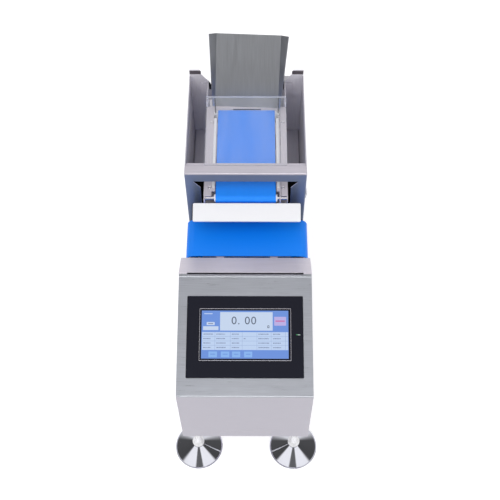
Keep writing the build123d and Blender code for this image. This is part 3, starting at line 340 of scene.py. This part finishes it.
finishes = {
    "console_steel": ("console_wrap",),
    "cap_steel": ("console_cap",),
    "base_steel": (
        "console_side_left",
        "console_side_right",
        "console_bottom",
        "base_bottom",
        "base_side_left",
        "base_side_right",
        "base_deck",
    ),
    "hood_steel": ("rear_panel", "hood_wing_left", "hood_wing_right"),
    "portal_steel": ("hood_portal",),
    "chute_steel": ("chute",),
    "bracket_steel": ("chute_brackets",),
    "bracket_dark": ("cross_rail_front", "cross_rail_rear", "transfer_brackets"),
    "frame_alloy": (
        "weigh_frame_left",
        "weigh_frame_right",
        "weigh_cradle",
        "cell_pedestal",
        "load_cell",
        "weigh_bed",
        "cross_bed",
        "drive_cover",
    ),
    "cover_paint": ("junction_box",),
    "weigh_blue": ("weigh_belt",),
    "cross_blue": ("cross_belt",),
    "plate_white": ("transfer_plate",),
    "lid_clear": ("hood_lid",),
    "roller_white": ("nose_roller", "drive_roller"),
    "turned_steel": (
        "cross_drive_roller",
        "cross_idle_roller",
        "nose_shaft",
        "motor_shaft",
        "weigh_bearings",
        "cross_bearings",
        "lock_nuts",
        "foot_bosses",
    ),
    "pulley_alloy": ("drive_pulley", "motor_pulley"),
    "timing_black": ("timing_belt",),
    "motor_dark": ("weigh_motor", "cross_motor"),
    "chrome": ("foot_front_left", "foot_front_right", "foot_rear_left", "foot_rear_right"),
    "bezel_black": ("hmi_bezel",),
    "glass_black": ("hmi_screen",),
    "plastic_black": ("hmi_housing", "inlet_socket", "switch_frame", "switch_rocker"),
    "zinc": ("hmi_clamps", "power_supply"),
    "board_green": ("controller_board",),
}
for look, names in finishes.items():
    for name in names:
        nodes[name].data.materials.clear()
        nodes[name].data.materials.append(looks[look])


# Shapes
def piece(name, build, materials, smooth=False):
    """A fixed piece that the build function fills, in the given finishes."""
    shape = bmesh.new()
    build(shape)
    bmesh.ops.recalc_face_normals(shape, faces=shape.faces)
    mesh = bpy.data.meshes.new(name)
    shape.to_mesh(mesh)
    shape.free()
    for polygon in mesh.polygons:
        polygon.use_smooth = smooth
    made = bpy.data.objects.new(name, mesh)
    scene.collection.objects.link(made)
    for material in materials:
        mesh.materials.append(material)
    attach(made, "machine")


def band_between(shape, first, second):
    """Side faces between two loops of as many vertices, and the list of them."""
    count = len(first)
    faces = []
    for a in range(count):
        b = (a + 1) % count
        faces.append(shape.faces.new((first[a], first[b], second[b], second[a])))
    return faces


def slab(shape, low, high, bottom, top, corner=0.0, place=Matrix.Identity(4), index=0):
    """A plate between two corners, with rounded corners if asked, in the placed frame."""
    outline = []
    if corner:
        for cx, cy, start in (
            (high[0] - corner, high[1] - corner, 0),
            (low[0] + corner, high[1] - corner, 90),
            (low[0] + corner, low[1] + corner, 180),
            (high[0] - corner, low[1] + corner, 270),
        ):
            for step in range(5):
                angle = math.radians(start + step * 22.5)
                outline.append((cx + corner * math.cos(angle), cy + corner * math.sin(angle)))
    else:
        outline = [(high[0], high[1]), (low[0], high[1]), (low[0], low[1]), (high[0], low[1])]
    under = [shape.verts.new(place @ Vector((x, y, bottom))) for x, y in outline]
    over = [shape.verts.new(place @ Vector((x, y, top))) for x, y in outline]
    faces = [shape.faces.new(over), shape.faces.new(under[::-1])]
    for face in faces + band_between(shape, under, over):
        face.material_index = index


def side_spans(inner, outer):
    """The span from inner to outer, on the left and on the right."""
    return (-outer, -inner), (inner, outer)


# Operator screen: silver rim, lit display and indicator lamp, in the slope's own frame
front = -0.3635
fold_height = 0.355
slope = math.radians(15.35)
panel = Matrix(
    (
        (1, 0, 0, 0),
        (0, math.cos(slope), -math.sin(slope), front),
        (0, math.sin(slope), math.cos(slope), fold_height),
        (0, 0, 0, 1),
    )
)
screen_v = 0.1100
glass_top = 0.0038
display_half = (0.0770, 0.0430)
photo_centre = (715, 575)
photo_size = (1130, 620)
display_lift = 0.00002
layer_base = 0.00005
layer_step = 0.00006
digit_lift = 0.00022
digit_relief = 0.00004
digit_size = 0.0200
digit_spacing = 1.12
digit_centre = (700, 400)
rim_half = (0.0814, 0.0470)
rim_shift = 0.0004
rim_width = 0.0011
rim_height = 0.0009
rim_crown = 0.0002
lamp_spans = ((0.0905, -0.0011, 0.0932, 0.0003), (0.0934, -0.0012, 0.0978, 0.0002))
lamp_bottom = 0.0040
lamp_top = 0.0044
lamp_corner = 0.0004
lamp_strength = 0.9

tints = {
    "deep": lit("display_deep_blue", rgb(106, 144, 218)),
    "pale": lit("display_pale_blue", rgb(188, 208, 238)),
    "light": lit("display_light", rgb(196, 212, 236)),
    "button": lit("display_button", rgb(134, 178, 236)),
    "pink": lit("display_pink", rgb(184, 174, 226)),
    "digit": lit("display_digit", rgb(88, 98, 116)),
    "line": lit("display_line", rgb(150, 172, 212)),
    "mark": lit("display_mark", rgb(120, 132, 168)),
    "rose": lit("display_rose", rgb(196, 120, 176)),
}
tint_index = {key: place for place, key in enumerate(tints)}

# Left, top, right and bottom of each area, as measured on the enlarged photograph,
# then its tint, its layer and, where it is rounded, its corner radius
display_areas = (
    (150, 265, 1280, 885, "deep", 0),
    (390, 285, 1075, 525, "light", 1),
    (158, 545, 1275, 775, "pale", 1),
    (170, 470, 370, 520, "light", 1),
    (215, 415, 320, 455, "light", 1, 0.0008),
    (1095, 345, 1250, 460, "pink", 1, 0.0010),
    (1112, 392, 1232, 412, "rose", 2),
    (182, 300, 290, 312, "pale", 1),
    (236, 430, 300, 441, "mark", 2),
    (1006, 458, 1032, 492, "digit", 2, 0.0006),
    (1013, 466, 1025, 484, "light", 3),
)
button_spans = ((245, 355), (405, 515), (550, 655), (705, 810))
column_lines = (325, 525, 680, 870, 1055, 1240)
row_lines = (602, 660, 717)
column_spans = ((175, 305), (345, 470), (545, 660), (700, 760), (890, 1035), (1080, 1200))
short_column = 3
row_count = 4
first_row = 572
row_pitch = 57.5
table_span = (160, 1273)
table_rise = (547, 773)
button_rise = (795, 868)
caption_rise = (824, 834)
caption_inset = 22
line_half = 2
word_gap = 5
button_corner = 0.0006


def build_rim(shape):
    """A rectangular ring with a rounded crown."""
    top = glass_top + rim_height
    profile = (
        (0, glass_top),
        (0, top - rim_crown),
        (rim_crown, top),
        (rim_width - rim_crown, top),
        (rim_width, top - rim_crown),
        (rim_width, glass_top),
    )
    loops = []
    for inset, height in profile:
        w, h = rim_half[0] - inset, rim_half[1] - inset
        corners = ((-w, -h), (w, -h), (w, h), (-w, h))
        places = [Vector((rim_shift + x, screen_v + y, height)) for x, y in corners]
        loops.append([shape.verts.new(panel @ place) for place in places])
    for a, b in zip(loops, loops[1:] + loops[:1]):
        band_between(shape, a, b)


def display_point(px, py):
    """Place on the display, from its centre, of a point measured on the enlarged photograph."""
    x = (px - photo_centre[0]) / photo_size[0] * 2 * display_half[0]
    y = (photo_centre[1] - py) / photo_size[1] * 2 * display_half[1]
    return x, y


def display_area(shape, x0, y0, x1, y1, key, layer, corner=0.0):
    a, b = display_point(x0, y1), display_point(x1, y0)
    low = (a[0], a[1] + screen_v)
    high = (b[0], b[1] + screen_v)
    top = glass_top + layer_base + layer * layer_step
    slab(shape, low, high, glass_top + display_lift, top, corner, panel, tint_index[key])


def build_display(shape):
    """The areas, buttons and table of the display, with short bars in place of words."""
    for area in display_areas:
        display_area(shape, *area)
    for x0, x1 in button_spans:
        y0, y1 = button_rise
        display_area(shape, x0, y0, x1, y1, "button", 1, button_corner)
        y0, y1 = caption_rise
        display_area(shape, x0 + caption_inset, y0, x1 - caption_inset, y1, "deep", 2)
    for x in column_lines:
        y0, y1 = table_rise
        display_area(shape, x - line_half, y0, x + line_half, y1, "line", 2)
    for y in row_lines:
        x0, x1 = table_span
        display_area(shape, x0, y - line_half, x1, y + line_half, "line", 2)
    for row in range(row_count):
        y = first_row + row * row_pitch
        for column, (x, end) in enumerate(column_spans):
            if column == short_column and row != 1:
                continue
            reach = end - (row * 37 + column * 53) % 40
            step = 0
            while x < reach:
                wide = 7 + (row * 5 + column * 3 + step * 7) % 9
                display_area(shape, x, y - 7, min(x + wide, reach), y + 6, "mark", 2)
                x += wide + word_gap
                step += 1


def build_digits():
    """Plain numerals on the display."""
    curve = bpy.data.curves.new("screen_digits", "FONT")
    curve.body = "0. 00"
    curve.size = digit_size
    curve.align_x = "CENTER"
    curve.align_y = "CENTER"
    curve.space_character = digit_spacing
    curve.extrude = digit_relief
    curve.materials.append(tints["digit"])
    made = bpy.data.objects.new("screen_digits", curve)
    scene.collection.objects.link(made)
    x, y = display_point(*digit_centre)
    made.matrix_world = panel @ Matrix.Translation((x, y + screen_v, glass_top + digit_lift))
    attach(made, "machine")


def build_lamp(shape):
    for index, (x0, y0, x1, y1) in enumerate(lamp_spans):
        low, high = (x0, screen_v + y0), (x1, screen_v + y1)
        slab(shape, low, high, lamp_bottom, lamp_top, lamp_corner, panel, index)


piece("screen_rim", build_rim, [looks["rim_silver"]])
piece("screen_display", build_display, tints.values())
build_digits()
lamp_tints = [
    lit("lamp_green", rgb(60, 150, 90), lamp_strength),
    lit("lamp_white", rgb(170, 190, 180), lamp_strength),
]
piece("indicator_lamp", build_lamp, lamp_tints)

# Small fittings on the conveyor's frame strips and on the box; black sheets on the deck and dark
# pads and plates at the wings, which are painted shade
frame_top = 0.4524
deck_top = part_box("base_deck")[1][2]
lid_low, lid_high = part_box("hood_lid")
wing_low, wing_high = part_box("hood_wing_right")
box_low, box_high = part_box("junction_box")
belt_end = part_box("weigh_belt")[1][1]

# Shares of a screw head's radius and height, from its rim to the floor of its socket
head_profile = (
    (1.0, 0.0),
    (1.0, 0.35),
    (0.92, 0.7),
    (0.75, 0.92),
    (0.5, 1.0),
    (0.42, 1.0),
    (0.40, 0.45),
)
head_sides = 24
socket_share = 0.45
socket_points = 6
socket_wave = 0.08
screw_places = (
    (-0.0675, front + 0.378),
    (0.0700, front + 0.378),
    (-0.0675, front + 0.535),
    (0.0715, front + 0.535),
)
frame_screw = (0.0032, 0.0016)
box_screw = (0.0026, 0.0014)
box_screw_inset = (0.006, 0.008)
# Black sheets on the deck beside the frames, which are painted shade of the hood's interior
deck_shade_span = (0.0815, 0.1095)
deck_shade_run = (0.004, 0.146)
deck_shade_thickness = 0.0015
deck_shade_corner = 0.003
strip_span = (0.0584, 0.0632)
strip_run = (0.014, 0.182)
strip_thickness = 0.0009
strip_corner = 0.0006
end_half_width = 0.0640
end_overlap = 0.0037
end_length = 0.0140
end_thickness = 0.0008
end_corner = 0.0008
post_places = (-0.0605, 0.0625)
post_setback = 0.0015
post_half = 0.0011
post_corner = 0.0010
post_clearance = 0.0001
seat_half = 0.0030
seat_height = 0.0030
seat_corner = 0.0014
# Dark pads over the wings' top tabs, which are painted dark reflection
tab_shade_inner = 0.0895
tab_shade_inset = 0.0006
tab_shade_run = (0.0008, 0.0015)
tab_shade_drop = (0.0098, 0.0012)
# Dark plates inboard of the wings, which are the painted shadow of the chute
shadow_plate_run = (0.0015, 0.0030)
shadow_plate_outline = (
    (0.0800, 0.440),
    (0.0800, 0.489),
    (0.0750, 0.483),
    (0.0655, 0.462),
    (0.0655, 0.440),
)


def screw_head(shape, centre, radius, height, normal=(0, 0, 1)):
    """Low domed head with a socket recess."""
    turn = Vector((0, 0, 1)).rotation_difference(Vector(normal)).to_matrix().to_4x4()
    place = Matrix.Translation(centre) @ turn
    rings = []
    for share_r, share_h in head_profile:
        ring = []
        for i in range(head_sides):
            angle = 2 * math.pi * i / head_sides
            r = radius * share_r
            if share_r < socket_share:
                r *= 1 - socket_wave * math.cos(socket_points * angle)
            spot = Vector((r * math.cos(angle), r * math.sin(angle), height * share_h))
            ring.append(shape.verts.new(place @ spot))
        rings.append(ring)
    for a, b in zip(rings, rings[1:]):
        band_between(shape, a, b)
    shape.faces.new(rings[-1])
    shape.faces.new(rings[0][::-1])


def build_frame_screws(shape):
    for x, y in screw_places:
        screw_head(shape, (x, y, frame_top), *frame_screw)


# Painted shade: black sheets on the deck beside the conveyor frames
def build_deck_shade_sheets(shape):
    y0, y1 = deck_shade_run
    for x0, x1 in side_spans(*deck_shade_span):
        slab(shape, (x0, y0), (x1, y1), deck_top, deck_top + deck_shade_thickness, deck_shade_corner)


def build_wear_strips(shape):
    y0, y1 = strip_run
    for x0, x1 in side_spans(*strip_span):
        slab(shape, (x0, y0), (x1, y1), frame_top, frame_top + strip_thickness, strip_corner)


def square_post(shape, x, y, half, bottom, top, corner, index=0):
    slab(shape, (x - half, y - half), (x + half, y + half), bottom, top, corner, index=index)


def build_posts(shape):
    seat_top = frame_top + seat_height
    post_top = lid_low[2] - post_clearance
    y = lid_high[1] - post_setback
    for x in post_places:
        square_post(shape, x, y, seat_half, frame_top, seat_top, seat_corner)
        square_post(shape, x, y, post_half, seat_top, post_top, post_corner, index=1)


def build_end_strip(shape):
    start = belt_end - end_overlap
    low, high = (-end_half_width, start), (end_half_width, start + end_length)
    slab(shape, low, high, frame_top, frame_top + end_thickness, end_corner)


# Painted dark reflection: thin dark pads over the wings' top tabs
def build_tab_shade_pads(shape):
    y0, y1 = (wing_low[1] + step for step in tab_shade_run)
    bottom, top = (wing_high[2] - step for step in tab_shade_drop)
    for x0, x1 in side_spans(tab_shade_inner, wing_high[0] - tab_shade_inset):
        slab(shape, (x0, y0), (x1, y1), bottom, top)


# Painted shadow: dark plates inboard of the wings where the chute's shadow falls
def build_shadow_plates(shape):
    for sign in (-1, 1):
        loops = []
        for step in shadow_plate_run:
            y = wing_low[1] + step
            loops.append([shape.verts.new((sign * x, y, z)) for x, z in shadow_plate_outline])
        for loop in loops:
            shape.faces.new(loop)
        band_between(shape, *loops)


def build_box_screws(shape):
    inset_x, inset_z = box_screw_inset
    for x in (box_low[0] + inset_x, box_high[0] - inset_x):
        for z in (box_low[2] + inset_z, box_high[2] - inset_z):
            screw_head(shape, (x, box_high[1], z), *box_screw, normal=(0, 1, 0))


for name, build, finish, smooth, slot in (
    ("frame_screws", build_frame_screws, ("turned_steel",), True, "nut_steel"),
    # Black sheets on the deck beside the frames: painted shade
    ("deck_shade_sheets", build_deck_shade_sheets, ("painted_shade_black",), False, "timing_rubber"),
    ("wear_strips", build_wear_strips, ("roller_white",), False, "roller_white"),
    ("lid_posts", build_posts, ("roller_white", "bracket_dark"), False, "roller_white"),
    ("end_strip", build_end_strip, ("frame_alloy",), False, "frame_aluminium"),
    # Dark pads over the wings' top tabs: painted dark reflection
    ("wing_tab_shade_pads", build_tab_shade_pads, ("tab_painted_shade",), False, "dark_bracket"),
    # Dark plates inboard of the wings: painted shadow of the chute
    ("wing_shadow_plates", build_shadow_plates, ("bracket_dark",), False, "dark_bracket"),
    ("junction_box_screws", build_box_screws, ("zinc",), True, "clamp_zinc"),
):
    piece(name, build, [looks[look] for look in finish], smooth)


# Floor
floor_size = 6.0
floor_glow = 0.32


def plain_floor():
    """Pale matt floor, a little brighter to the camera and in mirrors."""
    paint = Paint("studio_floor")
    grain = paint.noise(3.0, 2.0)
    paint.set("Base Color", paint.mix(grain, (0.97, 0.97, 0.97, 1), white))
    paint.set("Roughness", 0.9)
    paint.set("Specular IOR Level", 0.0)
    ray = paint.node("ShaderNodeLightPath").outputs
    seen = paint.math("MAXIMUM", ray["Is Camera Ray"], ray["Is Glossy Ray"])
    paint.set("Emission Color", white)
    paint.set("Emission Strength", paint.math("MULTIPLY", seen, floor_glow))
    return paint.material


floor_mesh = bpy.data.meshes.new("floor")
floor_shape = bmesh.new()
bmesh.ops.create_grid(floor_shape, x_segments=4, y_segments=4, size=floor_size)
floor_shape.to_mesh(floor_mesh)
floor_shape.free()
floor = bpy.data.objects.new("floor", floor_mesh)
scene.collection.objects.link(floor)
floor_mesh.materials.append(plain_floor())

# World: white to the camera, soft light, and a studio of dark and pale walls in mirrors.
# Each wall is a row of stops from the front of the machine, at 0, round to its rear, at 1.
upper_wall = (
    (0.0, 0.10),
    (0.062, 0.11),
    (0.095, 0.74),
    (0.32, 0.74),
    (0.38, 0.05),
    (0.62, 0.06),
    (0.75, 0.62),
    (1.0, 0.62),
)
lower_wall = (
    (0.0, 0.20),
    (0.15, 0.22),
    (0.32, 0.40),
    (0.40, 0.05),
    (0.68, 0.06),
    (0.82, 0.60),
    (1.0, 0.60),
)
ceiling_ring = ((0.0, 2.6), (0.25, 2.2), (0.42, 0.45), (0.70, 0.60), (1.0, 0.60))
ceiling_middle = (0.52, 0.52, 0.535, 1)
ceiling_sides = (0.14, 0.14, 0.15, 1)
mirror_strength = 1.4
soft_light = (0.74, 0.74, 0.75, 1)

world = bpy.data.worlds.new("studio")
scene.world = world
world.use_nodes = True
sky = Wiring(world.node_tree)
ray = sky.node("ShaderNodeLightPath").outputs
toward = sky.node("ShaderNodeTexCoord").outputs["Generated"]
axes = sky.node("ShaderNodeSeparateXYZ", Vector=toward).outputs


def above(start, end):
    """From 0 to 1 as the direction rises from one height to another."""
    return sky.ramp(axes["Z"], 0, 1, start, end, True)


heading = sky.math("ARCTAN2", axes["X"], sky.math("MULTIPLY", axes["Y"], -1.0))
around = sky.math("DIVIDE", sky.math("ABSOLUTE", heading), math.pi)
aside = sky.ramp(sky.math("ABSOLUTE", axes["X"]), 0, 1, 0.04, 0.17, True)
walls = sky.mix(above(0.40, 0.58), sky.stops(around, lower_wall), sky.stops(around, upper_wall))
walls = sky.mix(above(0.73, 0.78), walls, sky.stops(around, ceiling_ring))
vault = sky.mix(above(0.90, 0.93), walls, sky.mix(aside, ceiling_middle, ceiling_sides))
mirrored = sky.node("ShaderNodeVectorMath", Vector=vault)
mirrored.operation = "SCALE"
mirrored.inputs["Scale"].default_value = mirror_strength
unseen = sky.mix(ray["Is Glossy Ray"], soft_light, mirrored.outputs[0])
shown = sky.mix(ray["Is Camera Ray"], unseen, white)
sky.join(shown, sky.tree.nodes["Background"].inputs["Color"])


# Lamps
def softbox(name, place, target, width, height, power):
    lamp = bpy.data.lights.new(name, "AREA")
    lamp.shape = "RECTANGLE"
    lamp.size = width
    lamp.size_y = height
    lamp.energy = power
    made = bpy.data.objects.new(name, lamp)
    scene.collection.objects.link(made)
    made.location = place
    made.rotation_mode = "QUATERNION"
    made.rotation_quaternion = (Vector(target) - Vector(place)).to_track_quat("-Z", "Y")
    made.visible_glossy = False


softbox("key", (-0.9, -0.9, 2.4), (0, 0, 0.3), 1.4, 1.4, 16)
softbox("fill", (1.6, -0.6, 1.6), (0, 0, 0.3), 1.0, 1.0, 5)
softbox("front", (0.0, -2.4, 0.5), (0, 0, 0.15), 0.5, 0.9, 5)
